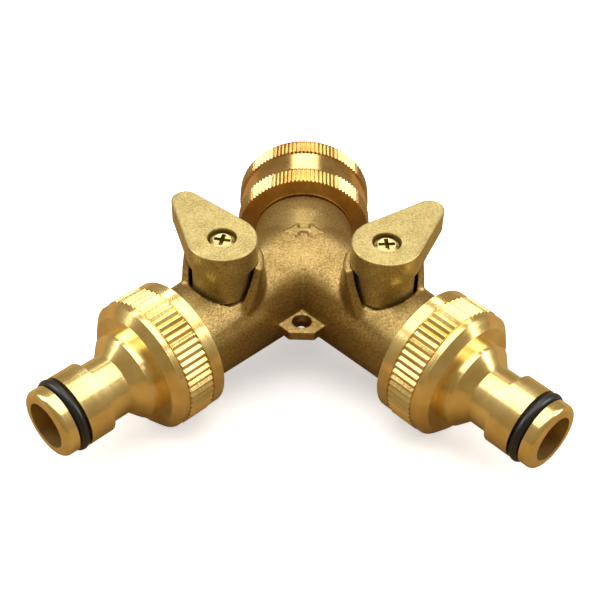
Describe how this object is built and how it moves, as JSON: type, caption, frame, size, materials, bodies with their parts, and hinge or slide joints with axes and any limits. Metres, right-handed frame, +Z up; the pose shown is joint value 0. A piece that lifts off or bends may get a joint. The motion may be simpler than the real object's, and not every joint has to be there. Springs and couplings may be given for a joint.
{
  "type": "hose splitter",
  "caption": "Brass Y-shaped hose splitter: swivelling female inlet, a lever-worked ball valve in each leg, and screw-on nipple adapters for click-on hose connectors.",
  "frame": {"origin": "centre of the inlet nut's mouth, on the inlet axis", "axes": "+Y out of the inlet along its axis, +Z up out of the levers' side, +X to the right, the legs run to -Y at 45 degrees each side; Z = 0 is the plane of the three pipe axes"},
  "size_m": [0.1188, 0.0894, 0.0404],
  "materials": {
    "cast_brass": "sand-cast and blasted, satin with a fine grain",
    "turned_brass": "turned and polished, bright",
    "nut_brass": "turned, satin",
    "lever_brass": "cast and blasted, matte",
    "ball_chrome": "plated, polished",
    "seat_plastic": "white fluoropolymer, smooth",
    "black_rubber": "black, slightly shiny",
    "spring_steel": "plain steel wire",
    "zinc_screw": "yellow zinc plated"
  },
  "bodies": {
    "splitter_body": {"valve_body": "cast_brass", "swivel_ring": "spring_steel", "left_inner_seat": "seat_plastic", "left_outer_seat": "seat_plastic", "left_seat_retainer": "turned_brass", "right_inner_seat": "seat_plastic", "right_outer_seat": "seat_plastic", "right_seat_retainer": "turned_brass"},
    "inlet_swivel": {"inlet_nut": "nut_brass", "inlet_washer": "black_rubber"},
    "left_valve": {"left_ball": "ball_chrome", "left_stem": "turned_brass", "left_stem_o_rings": "black_rubber", "left_lever": "lever_brass", "left_lever_screw": "zinc_screw"},
    "left_gasket": {"left_outlet_washer": "black_rubber"},
    "left_adapter": {"left_outlet_adapter": "turned_brass", "left_nipple_o_ring": "black_rubber"},
    "right_valve": {"right_ball": "ball_chrome", "right_stem": "turned_brass", "right_stem_o_rings": "black_rubber", "right_lever": "lever_brass", "right_lever_screw": "zinc_screw"},
    "right_gasket": {"right_outlet_washer": "black_rubber"},
    "right_adapter": {"right_outlet_adapter": "turned_brass", "right_nipple_o_ring": "black_rubber"}
  },
  "joints": [
    {"name": "inlet_swivel_turn", "type": "hinge", "parent": "splitter_body", "child": "inlet_swivel", "pos_m": [0, 0, 0], "axis": [0, 1, 0], "continuous": true},
    {"name": "left_lever_turn", "type": "hinge", "parent": "splitter_body", "child": "left_valve", "pos_m": [-0.01835, -0.04835, 0], "axis": [0, 0, 1], "range_deg": [-79.5, 10.5]},
    {"name": "left_adapter_travel", "type": "slide", "parent": "splitter_body", "child": "left_gasket", "axis": [-0.7071, -0.7071, 0], "range_m": [0, 0.0091]},
    {"name": "left_adapter_turn", "type": "hinge", "parent": "left_gasket", "child": "left_adapter", "pos_m": [-0.03535, -0.06535, 0], "axis": [-0.7071, -0.7071, 0], "range_deg": [0, 1800]},
    {"name": "right_lever_turn", "type": "hinge", "parent": "splitter_body", "child": "right_valve", "pos_m": [0.01835, -0.04835, 0], "axis": [0, 0, 1], "range_deg": [-5, 85]},
    {"name": "right_adapter_travel", "type": "slide", "parent": "splitter_body", "child": "right_gasket", "axis": [0.7071, -0.7071, 0], "range_m": [0, 0.0091]},
    {"name": "right_adapter_turn", "type": "hinge", "parent": "right_gasket", "child": "right_adapter", "pos_m": [0.03535, -0.06535, 0], "axis": [0.7071, -0.7071, 0], "range_deg": [0, 1800]}
  ],
  "couplings": [
    {"joint": "left_adapter_travel", "follows": "left_adapter_turn", "m_per_rad": 0.00028875},
    {"joint": "right_adapter_travel", "follows": "right_adapter_turn", "m_per_rad": 0.00028875}
  ]
}
